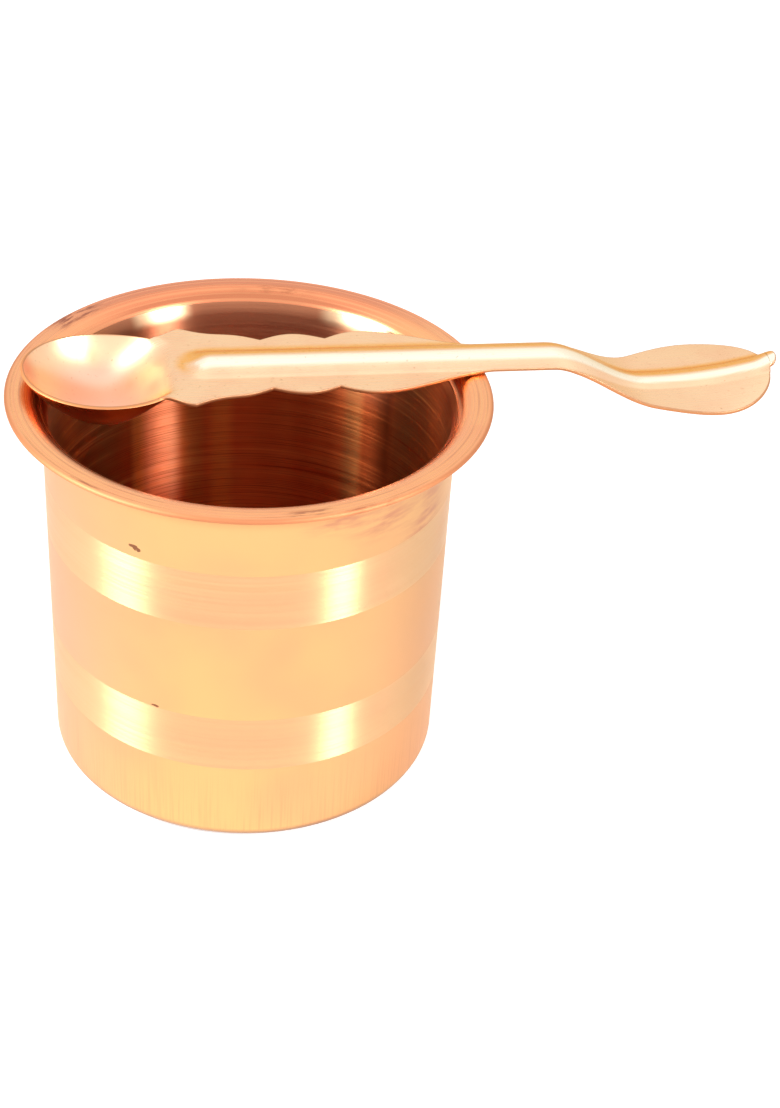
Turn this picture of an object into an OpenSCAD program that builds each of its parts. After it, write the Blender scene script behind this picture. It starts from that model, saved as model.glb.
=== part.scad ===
// Copper ritual cup with a loose offering spoon lying across its rim, in millimetres.
// The origin is the middle of the cup's foot, +Z is up and the spoon's handle points along +X.

/* [Cup] */
// Diameter over the turned-out lip
rim_d = 75; // [66:0.5:90]
// Height from the table to the top of the lip
cup_h = 64.4; // [52:0.2:80]
// Outside diameter of the body just under the lip
body_top_d = 64.1; // [58:0.1:65]
// Outside diameter of the body at the foot
body_foot_d = 63.2; // [56:0.1:65]
// Thickness of the drawn copper sheet
cup_wall = 0.8; // [0.5:0.05:1.2]
// Inside radius of the bend from the body to the lip
flare_r = 4; // [2.4:0.1:4.8]
// Outside radius of the bend from the body to the base
foot_r = 2.4; // [1.6:0.1:4]

/* [Spoon bowl] */
// Thickness of the stamped copper sheet
spoon_wall = 0.6; // [0.5:0.05:1.2]
// From the tip of the bowl to its widest place
bowl_half_l = 12.3; // [9:0.1:15]
// Width of the bowl
bowl_w = 23.3; // [18:0.1:28]
// Depth of the bowl below its edge
bowl_depth = 6.2; // [4:0.1:9]
// From the tip of the bowl to the neck
neck_at = 20.5; // [18:0.1:24]
// Width at the neck
neck_w = 18.9; // [14:0.1:21]
// How far the dish of the bowl runs past the neck
dish_past_neck = 3; // [0.5:0.1:4]
// How far the edge of the bowl sags between its tip and the neck
bowl_sag = 0.9; // [0:0.1:1.5]
// How far the tip of the bowl stands above the plate
tip_lift = 0.5; // [0:0.1:1.5]

/* [Spoon handle] */
// From the neck to the shoulders of the scalloped plate
shoulder_len = 4.9; // [3:0.1:7]
// Width over the shoulders
shoulder_w = 24; // [20:0.1:28]
// From the shoulders to the first cusp
first_scallop_len = 12.3; // [9:0.1:15]
// From the first cusp to the second
second_scallop_len = 10.4; // [8:0.1:14]
// Width between two opposite cusps
cusp_w = 15.3; // [12:0.1:18]
// How far the second scallop swells past its cusps, on each side
scallop_rise = 1.75; // [0.8:0.05:2.5]
// From the second cusp to the crest of the last scallop
last_scallop_len = 5.6; // [4:0.1:8]
// Width over the last scallop
last_scallop_w = 19.6; // [16:0.1:24]
// From the last scallop to the narrow shank
taper_len = 20; // [14:0.5:26]
// Length of the narrow shank
shank_len = 9.5; // [6:0.5:16]
// Width of the shank
shank_w = 8.4; // [6:0.1:12]
// From the shank to the widest place of the leaf
leaf_len = 26.6; // [20:0.1:34]
// Width of the leaf
leaf_w = 22.6; // [18:0.1:28]
// From the widest place of the leaf to its round end
leaf_end_len = 11; // [9:0.1:15]
// How far the little tongue stands out past the round end
tongue_len = 1.2; // [0.8:0.1:3]
// Width of the tongue
tongue_w = 3.8; // [2:0.1:6]
// How far the tongue curls up
tongue_lift = 0.8; // [0:0.1:2]
// Width of the rib that stiffens the handle
rib_w = 8.4; // [6:0.1:10]
// Height of the rib
rib_h = 1.5; // [0.8:0.1:2.4]
// Width of the rib along the leaf
leaf_rib_w = 5.6; // [2:0.1:8]
// Height of the rib along the leaf
leaf_rib_h = 0.7; // [0.3:0.1:2]
// How far the leaf lies below the shank
leaf_drop = 5.1; // [2:0.1:8]
// Length over which the handle bends down to the leaf
bend_len = 16.5; // [12:0.5:22]
// How far the end of the leaf curls up again
leaf_curl = 3; // [0:0.1:4]
// How far the sides of the leaf fold down at its end
leaf_fold = 1; // [0:0.1:3]

/* [Spoon on the rim] */
// Angle between the handle and the X axis, seen from above
spoon_swing = 8.5; // [0:0.5:20]
// Distance of the spoon's centre line behind the middle of the cup
spoon_offset = 4.8; // [0:0.1:9]
// How far the tip of the bowl lies inside the edge of the lip
tip_inset = 2.6; // [1:0.1:4]
// Gap between the spoon and the lip it lies on
rest_clearance = 0.15; // [0.1:0.05:0.5]

/* [Hidden] */
copper = "#d98a55";
pale_copper = "#e8b184";

// Cup: radii of the body's outside, of the lip's flat ring and of its round edge
rim_r = rim_d / 2;
top_r = body_top_d / 2;
foot_out_r = body_foot_d / 2;
lip_in_r = top_r - cup_wall + flare_r;
lip_edge_r = cup_wall / 2;
flare_z = cup_h - flare_r;

// Spoon: the places along its centre line, measured from the tip of the bowl
shoulder_at = neck_at + shoulder_len;
cusp_1_at = shoulder_at + first_scallop_len;
cusp_2_at = cusp_1_at + second_scallop_len;
crest_at = cusp_2_at + last_scallop_len;
shank_at = crest_at + taper_len;
bend_at = shank_at + shank_len;
leaf_at = bend_at + leaf_len;
leaf_end_at = leaf_at + leaf_end_len;
spoon_len = leaf_end_at + tongue_len;
// The rib's nose starts behind the dish of the bowl
dish_end = neck_at + dish_past_neck;
rib_nose_at = shoulder_at - spoon_wall;
rib_nose_len = rib_w / 2;
// The ogee between the shoulder and the first cusp swings this share of its fall
ogee_swing = 0.1;
// The dish is flat across its middle and steep at its sides, by this power of the way to its edge
dish_fullness = 4;
// Share of the dish's depth over which it eases into the plate
dish_softness = 0.15;
// The edge of the bowl sags most behind its middle, by this power of the way to the neck
sag_skew = 1.7;
// The leaf widens late, by this power of the way to its widest place
leaf_swell = 1.2;
// The tongue starts to curl this far before its end
tongue_curl_len = 3 * tongue_len;

// Steps of the sheet's mesh along each stretch and across
bowl_steps = 12;
stretch_steps = 6;
leaf_steps = 12;
tongue_steps = 4;
across_steps = 20;
// The round ends stop this angle short of their very tip, so that their faces keep a width
tip_angle = 4;
// Step over which the slope of the sheet is measured
slope_step = 0.02;
// The seat's slope is found by halving this range
seat_slope_limit = 0.3;
seat_passes = 16;

function mix(a, b, u) = a + (b - a) * u;
function clamp01(u) = min(1, max(0, u));
function ease(u) = let (c = clamp01(u)) c * c * (3 - 2 * c);
function part_of(s, from, to) = (s - from) / (to - from);

function round_end(u) = sqrt(1 - pow(clamp01(u), 2));

// Half-width of the bowl: half an ellipse in front, and one behind that narrows to the neck
function bowl_half_w(s) =
    s < bowl_half_l ? bowl_w / 2 * round_end(1 - s / bowl_half_l) :
    let (narrowing = 1 - pow(neck_w / bowl_w, 2))
    bowl_w / 2 * sqrt(1 - narrowing * pow(part_of(s, bowl_half_l, neck_at), 2));

// Half-width of the sheet at a place along the centre line
function half_width(s) =
    s < neck_at ? bowl_half_w(s) :
    s < shoulder_at ? mix(neck_w, shoulder_w, ease(part_of(s, neck_at, shoulder_at))) / 2 :
    s < cusp_1_at ? let (u = part_of(s, shoulder_at, cusp_1_at))
        mix(shoulder_w, cusp_w, u + ogee_swing * sin(360 * u)) / 2 :
    s < cusp_2_at ? cusp_w / 2 + scallop_rise * sin(180 * part_of(s, cusp_1_at, cusp_2_at)) :
    s < crest_at ? mix(cusp_w, last_scallop_w, sin(90 * part_of(s, cusp_2_at, crest_at))) / 2 :
    s < shank_at ? mix(last_scallop_w, shank_w, ease(part_of(s, crest_at, shank_at))) / 2 :
    s < bend_at ? shank_w / 2 :
    s < leaf_at ? mix(shank_w, leaf_w, ease(pow(part_of(s, bend_at, leaf_at), leaf_swell))) / 2 :
    max(leaf_w / 2 * round_end(part_of(s, leaf_at, leaf_end_at)),
        tongue_w / 2 * round_end(part_of(s, spoon_len - tongue_len, spoon_len)));

// Height of the centre line: the tip rises, the handle bends down and the leaf curls up
function line_z(s) =
    tip_lift * pow(clamp01(1 - s / neck_at), 2)
    - bowl_sag * sin(180 * pow(clamp01(s / neck_at), sag_skew))
    - leaf_drop * ease((s - bend_at) / bend_len)
    + leaf_curl * pow(clamp01(part_of(s, bend_at + bend_len, spoon_len)), 2);

// The dish of the bowl is a round hollow that eases into the plate behind the neck
function dish_z(s, t) =
    let (reach = s < bowl_half_l ? bowl_half_l : dish_end - bowl_half_l)
    let (down = 1 - pow((s - bowl_half_l) / reach, 2))
    let (soft = dish_softness * ease(part_of(s, bowl_half_l, neck_at)))
    s <= 0 || down <= 0 ? 0 :
    -bowl_depth * down * down / (down + soft) * max(0, 1 - pow(abs(t) / bowl_half_w(s), dish_fullness));

// The rib is an arch with a round nose, is narrower and lower along the leaf and rises at the tongue
function rib_z(s, t) =
    let (on_leaf = ease((s - bend_at) / bend_len))
    let (half = mix(rib_w, leaf_rib_w, on_leaf) / 2)
    let (side = min(1, abs(t) / half))
    let (nose = ease((s - rib_nose_at) / rib_nose_len))
    let (tongue = ease(1 - (spoon_len - s) / tongue_curl_len))
    (mix(rib_h, leaf_rib_h, on_leaf) * nose + tongue_lift * tongue) * (1 - side * side);

// The sides of the leaf fold down towards its end
function fold_z(s, t) =
    -leaf_fold * ease(part_of(s, bend_at + bend_len, spoon_len)) * pow(2 * t / leaf_w, 2);

function sheet_z(s, t) = line_z(s) + dish_z(s, t) + rib_z(s, t) + fold_z(s, t);

// A point of the sheet, moved half the sheet's thickness to its upper or lower side
function sheet_point(s, t, side) =
    let (slope_s = (sheet_z(s + slope_step, t) - sheet_z(s - slope_step, t)) / (2 * slope_step))
    let (slope_t = (sheet_z(s, t + slope_step) - sheet_z(s, t - slope_step)) / (2 * slope_step))
    let (normal = [-slope_s, -slope_t, 1])
    [s, t, sheet_z(s, t)] + side * spoon_wall / 2 * normal / norm(normal);

// Places of the rows of points: close together at the two round ends
function stretch(from, to, steps) = [for (i = [1:steps]) mix(from, to, i / steps)];
rows = concat(
    [for (i = [0:bowl_steps]) bowl_half_l * (1 - cos(mix(tip_angle, 90, i / bowl_steps)))],
    stretch(bowl_half_l, neck_at, stretch_steps),
    stretch(neck_at, shoulder_at, stretch_steps),
    stretch(shoulder_at, cusp_1_at, stretch_steps),
    stretch(cusp_1_at, cusp_2_at, stretch_steps),
    stretch(cusp_2_at, crest_at, stretch_steps),
    stretch(crest_at, shank_at, stretch_steps),
    stretch(shank_at, bend_at, stretch_steps),
    stretch(bend_at, leaf_at, leaf_steps),
    [for (i = [1:leaf_steps])
        leaf_at + leaf_end_len * sin(mix(0, 90 - tip_angle, i / leaf_steps))],
    [for (i = [1:tongue_steps])
        leaf_end_at + tongue_len * sin(mix(0, 90 - tip_angle, i / tongue_steps))]);
row_count = len(rows);
row_len = across_steps + 1;

function sheet_side(side) = [for (s = rows, j = [0:across_steps])
    sheet_point(s, half_width(s) * (2 * j / across_steps - 1), side)];

// Where the spoon lies, seen from above: the tip of its bowl and the direction of its handle
along = [cos(spoon_swing), sin(spoon_swing)];
across = [-sin(spoon_swing), cos(spoon_swing)];
tip_along = -sqrt(pow(rim_r - tip_inset, 2) - pow(spoon_offset, 2));
tip_at = along * tip_along + across * spoon_offset;
function plan(p) = tip_at + along * p[0] + across * p[1];

// Height of the lip's upper side at a distance from the cup's axis, far below where there is no lip
no_lip = -10 * cup_h;
function lip_z(r) =
    r > rim_r ? no_lip :
    r >= lip_in_r ? cup_h :
    r > lip_in_r - flare_r ? flare_z + sqrt(pow(flare_r, 2) - pow(lip_in_r - r, 2)) :
    no_lip;

// What each low point of the spoon needs to clear the lip: its place and its lift
under = sheet_side(-1);
needs = [for (p = under) let (lip = lip_z(norm(plan(p)))) if (lip > no_lip)
    [p[0], lip + rest_clearance - p[2]]];
bowl_needs = [for (n = needs) if (n[0] < shoulder_at) n];
handle_needs = [for (n = needs) if (n[0] >= shoulder_at) n];
function lift_for(list, slope) = max([for (n = list) n[1] - slope * n[0]]);
// The seat's slope is the one at which the bowl and the handle touch down together
function seat_slope(low, high, passes) =
    let (middle = (low + high) / 2)
    passes == 0 ? middle :
    lift_for(bowl_needs, middle) > lift_for(handle_needs, middle)
        ? seat_slope(low, middle, passes - 1)
        : seat_slope(middle, high, passes - 1);
slope = seat_slope(-seat_slope_limit, seat_slope_limit, seat_passes);
lift = lift_for(bowl_needs, slope);

function seated(p) = [plan(p)[0], plan(p)[1], p[2] + lift + slope * p[0]];

// Corners of the quarter, above or below a bend's centre, that the bend keeps
module bend(centre, outer, quarter) {
    translate(centre)
        intersection() {
            difference() {
                circle(r = outer, $fn = 96);
                circle(r = outer - cup_wall, $fn = 96);
            }
            translate([quarter[0] < 0 ? -outer : 0, quarter[1] < 0 ? -outer : 0]) square(outer);
        }
}

module cup_profile() {
    square([foot_out_r - foot_r, cup_wall]);
    bend([foot_out_r - foot_r, foot_r], foot_r, [1, -1]);
    polygon([
        [foot_out_r - cup_wall, foot_r],
        [foot_out_r, foot_r],
        [top_r, flare_z],
        [top_r - cup_wall, flare_z]
    ]);
    bend([lip_in_r, flare_z], flare_r, [-1, 1]);
    translate([lip_in_r, cup_h - cup_wall]) square([rim_r - lip_edge_r - lip_in_r, cup_wall]);
    translate([rim_r - lip_edge_r, cup_h - lip_edge_r]) circle(r = lip_edge_r, $fn = 48);
}

module cup() {
    color(copper) rotate_extrude($fn = 180) cup_profile();
}

function quad(a, b, c, d) = [[a, b, c], [a, c, d]];

// The sheet's two sides, its long edges and its two ends, as one closed skin
module spoon() {
    upper = [for (p = sheet_side(1)) seated(p)];
    lower = [for (p = under) seated(p)];
    below = len(upper);
    last = below - row_len;
    faces = [
        for (i = [0:row_count - 2], j = [0:across_steps - 1])
            let (a = i * row_len + j, b = a + row_len)
            each concat(
                quad(a, a + 1, b + 1, b),
                quad(below + a, below + b, below + b + 1, below + a + 1)),
        for (i = [0:row_count - 2])
            let (a = i * row_len, b = a + row_len)
            each concat(
                quad(a, b, below + b, below + a),
                quad(b + across_steps, a + across_steps, below + a + across_steps, below + b + across_steps)),
        for (j = [0:across_steps - 1])
            each concat(
                quad(j + 1, j, below + j, below + j + 1),
                quad(last + j, last + j + 1, below + last + j + 1, below + last + j))
    ];
    color(pale_copper) polyhedron(points = concat(upper, lower), faces = faces);
}

cup();
spoon();
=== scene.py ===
import math

import bmesh
import bpy
import numpy as np
from mathutils import Matrix, Vector


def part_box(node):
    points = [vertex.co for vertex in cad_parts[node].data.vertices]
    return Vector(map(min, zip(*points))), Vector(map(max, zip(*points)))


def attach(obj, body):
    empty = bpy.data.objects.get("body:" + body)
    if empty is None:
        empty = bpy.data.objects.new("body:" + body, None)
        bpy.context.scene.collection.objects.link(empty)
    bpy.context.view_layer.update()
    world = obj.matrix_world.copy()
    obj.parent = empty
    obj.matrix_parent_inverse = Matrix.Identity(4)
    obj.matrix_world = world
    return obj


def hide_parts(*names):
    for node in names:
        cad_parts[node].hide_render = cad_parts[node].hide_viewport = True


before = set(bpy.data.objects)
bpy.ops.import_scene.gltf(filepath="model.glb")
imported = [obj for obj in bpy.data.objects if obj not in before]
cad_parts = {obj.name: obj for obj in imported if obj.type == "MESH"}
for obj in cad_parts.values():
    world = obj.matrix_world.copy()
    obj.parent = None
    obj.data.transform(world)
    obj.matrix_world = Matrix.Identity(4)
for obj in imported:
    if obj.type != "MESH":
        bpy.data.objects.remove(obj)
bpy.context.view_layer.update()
scene = bpy.context.scene
scene.view_settings.view_transform = "Standard"
print("frame loaded:", sorted(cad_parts))


# camera, fitted to the outlines of the rim, the base and the spoon
photoView = {
    "stand": (0.0, -0.27585, 0.22125),
    "yaw": 4.79,
    "pitch": 34.09,
    "roll": 3.785,
    "lens": 66.61,
    "clipFrom": 0.01,
}


def setCamera(view):
    yaw, pitch, roll = (math.radians(view[key]) for key in ("yaw", "pitch", "roll"))
    forward = Vector((math.sin(yaw) * math.cos(pitch), math.cos(yaw) * math.cos(pitch), -math.sin(pitch)))
    level = forward.cross(Vector((0, 0, 1))).normalized()
    right = math.cos(roll) * level + math.sin(roll) * level.cross(forward)
    turn = Matrix((right, right.cross(forward), -forward)).transposed()
    lensData = bpy.data.cameras.new("photoCamera")
    lensData.lens = view["lens"]
    lensData.clip_start = view["clipFrom"]
    camera = bpy.data.objects.new("photoCamera", lensData)
    camera.matrix_world = Matrix.Translation(view["stand"]) @ turn.to_4x4()
    scene.collection.objects.link(camera)
    scene.camera = camera


setCamera(photoView)
print("camera set")


# small helpers for node trees
def addNode(tree, kind, **settings):
    made = tree.nodes.new(kind)
    for key, value in settings.items():
        setattr(made, key, value)
    return made


def feed(tree, socket, value):
    if isinstance(value, bpy.types.NodeSocket):
        tree.links.new(value, socket)
    else:
        socket.default_value = value


def calc(tree, operation, first, second=0.0):
    step = addNode(tree, "ShaderNodeMath", operation=operation)
    feed(tree, step.inputs[0], first)
    feed(tree, step.inputs[1], second)
    return step.outputs[0]


def ramp(tree, value, start, end, low=0.0, high=1.0):
    step = addNode(tree, "ShaderNodeMapRange", interpolation_type="SMOOTHSTEP")
    for socket, given in zip(step.inputs, (value, start, end, low, high)):
        feed(tree, socket, given)
    return step.outputs[0]


def dye(tree, share, below, above):
    # sockets 6 and 7 are the pair for colours
    step = addNode(tree, "ShaderNodeMix", data_type="RGBA")
    feed(tree, step.inputs[0], share)
    feed(tree, step.inputs[6], below)
    feed(tree, step.inputs[7], above)
    return step.outputs[2]


def grain(tree, place, stretch, detail=3.0, roughness=0.6):
    scaled = addNode(tree, "ShaderNodeMapping")
    feed(tree, scaled.inputs["Vector"], place)
    feed(tree, scaled.inputs["Scale"], stretch)
    noise = addNode(tree, "ShaderNodeTexNoise")
    feed(tree, noise.inputs["Vector"], scaled.outputs[0])
    feed(tree, noise.inputs["Scale"], 1.0)
    feed(tree, noise.inputs["Detail"], detail)
    feed(tree, noise.inputs["Roughness"], roughness)
    return noise.outputs[0]


def spot(tree, place, centre, reach):
    shifted = addNode(tree, "ShaderNodeVectorMath", operation="SUBTRACT")
    feed(tree, shifted.inputs[0], place)
    feed(tree, shifted.inputs[1], centre)
    scaled = addNode(tree, "ShaderNodeVectorMath", operation="DIVIDE")
    feed(tree, scaled.inputs[0], shifted.outputs[0])
    feed(tree, scaled.inputs[1], reach)
    away = addNode(tree, "ShaderNodeVectorMath", operation="LENGTH")
    feed(tree, away.inputs[0], scaled.outputs[0])
    return ramp(tree, away.outputs["Value"], 1.0, 0.0)


def stripe(tree, value, centre, half, soft):
    away = calc(tree, "ABSOLUTE", calc(tree, "SUBTRACT", value, centre))
    return ramp(tree, away, half + soft, half)


def both(tree, first, second):
    return calc(tree, "MULTIPLY", first, second)


def splitPlace(tree, place):
    split = addNode(tree, "ShaderNodeSeparateXYZ")
    feed(tree, split.inputs[0], place)
    return split.outputs


def roundPlace(tree, place):
    # degrees round the cup's axis, distance from it, and height
    x, y, z = splitPlace(tree, place)
    angle = calc(tree, "DEGREES", calc(tree, "ARCTAN2", y, x))
    radius = calc(tree, "SQRT", calc(tree, "ADD", both(tree, x, x), both(tree, y, y)))
    return angle, radius, z


def roundAxis(angle, radius, height):
    turn = math.radians(angle)
    return (radius * math.cos(turn), radius * math.sin(turn), height)


def turnedLines(tree, radius, scale, detail=3.0):
    # rings round the cup's axis, as a lathe leaves them on a level face
    noise = addNode(tree, "ShaderNodeTexNoise", noise_dimensions="1D")
    feed(tree, noise.inputs["W"], radius)
    feed(tree, noise.inputs["Scale"], scale)
    feed(tree, noise.inputs["Detail"], detail)
    return noise.outputs[0]


def newCopper(name, look):
    copper = bpy.data.materials.new(name)
    copper.use_nodes = True
    tree = copper.node_tree
    shader = tree.nodes["Principled BSDF"]
    shader.inputs["Metallic"].default_value = 1.0
    if "lacquer" in look:
        shader.inputs["Coat Weight"].default_value = look["lacquer"]
        shader.inputs["Coat Roughness"].default_value = look["lacquerRoughness"]
    if "grazing" in look:
        shader.inputs["Specular Tint"].default_value = look["grazing"]
    if "spread" in look:
        # the spinning lines spread a reflection along or across themselves
        shader.inputs["Anisotropic"].default_value = look["spread"]["amount"]
        shader.inputs["Anisotropic Rotation"].default_value = look["spread"]["turn"]
        around = addNode(tree, "ShaderNodeTangent", direction_type="RADIAL", axis="Z")
        feed(tree, shader.inputs["Tangent"], around.outputs[0])
    place = addNode(tree, "ShaderNodeTexCoord").outputs["Object"]
    return copper, tree, shader, place


def wear(tree, noise, look):
    # roughness that swings by wornBy with the grain
    middle, swing = look["roughness"], look["wornBy"]
    return ramp(tree, noise, *look["wornSpan"], middle - swing, middle + swing)


def addBump(tree, shader, height, depth):
    bump = addNode(tree, "ShaderNodeBump")
    feed(tree, bump.inputs["Height"], height)
    feed(tree, bump.inputs["Distance"], depth)
    feed(tree, shader.inputs["Normal"], bump.outputs[0])


# cup: one wall, spun, in four finishes
cupWall = {
    "bodyTop": 0.03205,
    "bodyFoot": 0.0316,
    "sheet": 0.0008,
    "flare": 0.004,
    "foot": 0.0024,
    "bands": ((0.0146, 0.0243), (0.0415, 0.0511)),
    "baseSteps": 8,
    "footSteps": 12,
    "wallSteps": 14,
    "underFlareSteps": 14,
    "underLipSteps": 4,  # of the steps under the flare, those finished as the lip
    "edgeSteps": 12,
    "flareSteps": 18,
    "lipSteps": 11,  # of the flare's steps, those finished as the lip
    "insideFootSteps": 10,
    "stepsAround": 288,
    "mergeWithin": 2e-6,
}
zones = {"body": 0, "band": 1, "lip": 2, "inside": 3}


def arc(centre, radius, start, end, count):
    angles = [math.radians(start + (end - start) * i / count) for i in range(count + 1)]
    return [(centre[0] + radius * math.cos(a), centre[1] + radius * math.sin(a)) for a in angles]


def cupProfile(wall, rimRadius, height):
    # from the middle of the base, up the outside, over the lip and down the inside
    edge = wall["sheet"] / 2
    lipStart = wall["bodyTop"] - wall["sheet"] + wall["flare"]
    flareFrom = height - wall["flare"]
    footCentre = (wall["bodyFoot"] - wall["foot"], wall["foot"])
    flareCentre = (lipStart, flareFrom)
    lean = (wall["bodyTop"] - wall["bodyFoot"]) / (flareFrom - wall["foot"])
    heights = list(np.linspace(wall["foot"], flareFrom, wall["wallSteps"])[1:-1])
    heights = sorted(heights + [z for band in wall["bands"] for z in band])

    def outAt(z):
        return wall["bodyFoot"] + lean * (z - wall["foot"])

    outside = [(r, 0.0) for r in np.linspace(0.0, footCentre[0], wall["baseSteps"])[:-1]]
    outside += arc(footCentre, wall["foot"], -90, 0, wall["footSteps"])
    outside += [(outAt(z), z) for z in heights]
    outside += arc(flareCentre, wall["flare"] - wall["sheet"], 180, 90, wall["underFlareSteps"])
    lip = arc((rimRadius - edge, height - edge), edge, -90, 90, wall["edgeSteps"])
    inside = arc(flareCentre, wall["flare"], 90, 180, wall["flareSteps"])
    inside += [(outAt(z) - wall["sheet"], z) for z in reversed(heights)]
    inside += arc(footCentre, wall["foot"] - wall["sheet"], 0, -90, wall["insideFootSteps"])
    inside += [(r, wall["sheet"]) for r in np.linspace(footCentre[0], 0.0, wall["baseSteps"])[1:]]
    points = outside + lip + inside
    marks = []
    for i in range(len(points) - 1):
        middle = (points[i][1] + points[i + 1][1]) / 2
        inBand = any(low < middle < high for low, high in wall["bands"])
        if i >= len(outside) + len(lip) + wall["lipSteps"]:
            marks.append(zones["inside"])
        elif i >= len(outside) - wall["underLipSteps"]:
            marks.append(zones["lip"])
        else:
            marks.append(zones["band"] if inBand else zones["body"])
    return points, marks


def spinTree():
    tree = bpy.data.node_groups.new("spunWall", "GeometryNodeTree")
    face = tree.interface
    face.new_socket("Profile", in_out="INPUT", socket_type="NodeSocketGeometry")
    face.new_socket("Steps Around", in_out="INPUT", socket_type="NodeSocketInt")
    face.new_socket("Merge Within", in_out="INPUT", socket_type="NodeSocketFloat")
    for zone in zones:
        face.new_socket(zone.capitalize() + " Copper", in_out="INPUT", socket_type="NodeSocketMaterial")
    face.new_socket("Wall", in_out="OUTPUT", socket_type="NodeSocketGeometry")
    given = addNode(tree, "NodeGroupInput").outputs
    steps = given["Steps Around"]
    count = addNode(tree, "GeometryNodeAttributeDomainSize")
    feed(tree, count.inputs[0], given["Profile"])
    lines = calc(tree, "ADD", steps, 1.0)
    grid = addNode(tree, "GeometryNodeMeshGrid")
    feed(tree, grid.inputs["Vertices X"], count.outputs["Point Count"])
    feed(tree, grid.inputs["Vertices Y"], lines)

    # each row of the grid is one point of the profile, turned round the axis
    index = addNode(tree, "GeometryNodeInputIndex").outputs[0]
    row = calc(tree, "FLOOR", calc(tree, "DIVIDE", index, lines))
    column = calc(tree, "SUBTRACT", index, calc(tree, "MULTIPLY", row, lines))
    angle = calc(tree, "MULTIPLY", calc(tree, "DIVIDE", column, steps), math.tau)
    there = addNode(tree, "GeometryNodeInputPosition").outputs[0]
    onProfile = addNode(tree, "GeometryNodeSampleIndex", data_type="FLOAT_VECTOR", domain="POINT")
    feed(tree, onProfile.inputs["Geometry"], given["Profile"])
    feed(tree, onProfile.inputs["Value"], there)
    feed(tree, onProfile.inputs["Index"], row)
    turned = addNode(tree, "ShaderNodeVectorRotate", rotation_type="Z_AXIS")
    feed(tree, turned.inputs["Vector"], onProfile.outputs[0])
    feed(tree, turned.inputs["Angle"], angle)
    spun = addNode(tree, "GeometryNodeSetPosition")
    feed(tree, spun.inputs["Geometry"], grid.outputs["Mesh"])
    feed(tree, spun.inputs["Position"], turned.outputs[0])

    # each face keeps the finish of the profile's edge that it was spun from
    mark = addNode(tree, "GeometryNodeInputNamedAttribute", data_type="INT")
    feed(tree, mark.inputs["Name"], "zone")
    onEdge = addNode(tree, "GeometryNodeSampleIndex", data_type="INT", domain="EDGE")
    feed(tree, onEdge.inputs["Geometry"], given["Profile"])
    feed(tree, onEdge.inputs["Value"], mark.outputs[0])
    feed(tree, onEdge.inputs["Index"], calc(tree, "FLOOR", calc(tree, "DIVIDE", index, steps)))
    kept = addNode(tree, "GeometryNodeStoreNamedAttribute", data_type="INT", domain="FACE")
    feed(tree, kept.inputs["Geometry"], spun.outputs[0])
    feed(tree, kept.inputs["Name"], "zone")
    feed(tree, kept.inputs["Value"], onEdge.outputs[0])

    closed = addNode(tree, "GeometryNodeMergeByDistance")
    feed(tree, closed.inputs["Geometry"], kept.outputs[0])
    feed(tree, closed.inputs["Distance"], given["Merge Within"])
    smooth = addNode(tree, "GeometryNodeSetShadeSmooth")
    feed(tree, smooth.inputs["Geometry"], closed.outputs[0])
    whole = addNode(tree, "GeometryNodeRealizeInstances")
    feed(tree, whole.inputs["Geometry"], smooth.outputs[0])
    dressed = whole.outputs[0]
    for zone, number in zones.items():
        # sockets 2 and 3 are the pair for whole numbers
        isZone = addNode(tree, "FunctionNodeCompare", data_type="INT", operation="EQUAL")
        feed(tree, isZone.inputs[2], mark.outputs[0])
        feed(tree, isZone.inputs[3], number)
        finish = addNode(tree, "GeometryNodeSetMaterial")
        feed(tree, finish.inputs["Geometry"], dressed)
        feed(tree, finish.inputs["Selection"], isZone.outputs[0])
        feed(tree, finish.inputs["Material"], given[zone.capitalize() + " Copper"])
        dressed = finish.outputs[0]
    result = addNode(tree, "NodeGroupOutput")
    feed(tree, result.inputs[0], dressed)
    return tree


def spinCup(wall, coppers):
    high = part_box("cup")[1]
    points, marks = cupProfile(wall, min(high.x, high.y), high.z)
    line = bpy.data.meshes.new("cupProfile")
    line.from_pydata([(r, 0.0, z) for r, z in points], [(i, i + 1) for i in range(len(points) - 1)], [])
    line.attributes.new("zone", "INT", "EDGE").data.foreach_set("value", marks)
    drawn = bpy.data.objects.new("cupProfile", line)
    scene.collection.objects.link(drawn)
    spin = drawn.modifiers.new("spunWall", "NODES")
    spin.node_group = spinTree()
    sockets = {item.name: item.identifier for item in spin.node_group.interface.items_tree}
    spin[sockets["Steps Around"]] = wall["stepsAround"]
    spin[sockets["Merge Within"]] = wall["mergeWithin"]
    for zone in zones:
        spin[sockets[zone.capitalize() + " Copper"]] = coppers[zone]
    bpy.context.view_layer.update()
    spun = drawn.evaluated_get(bpy.context.evaluated_depsgraph_get())
    mesh = bpy.data.meshes.new_from_object(spun)
    bpy.data.objects.remove(drawn)
    shell = bmesh.new()
    shell.from_mesh(mesh)
    bmesh.ops.recalc_face_normals(shell, faces=shell.faces)
    shell.to_mesh(mesh)
    shell.free()
    mesh.name = "cupWall"
    cup = bpy.data.objects.new("cupWall", mesh)
    scene.collection.objects.link(cup)
    return cup


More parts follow.
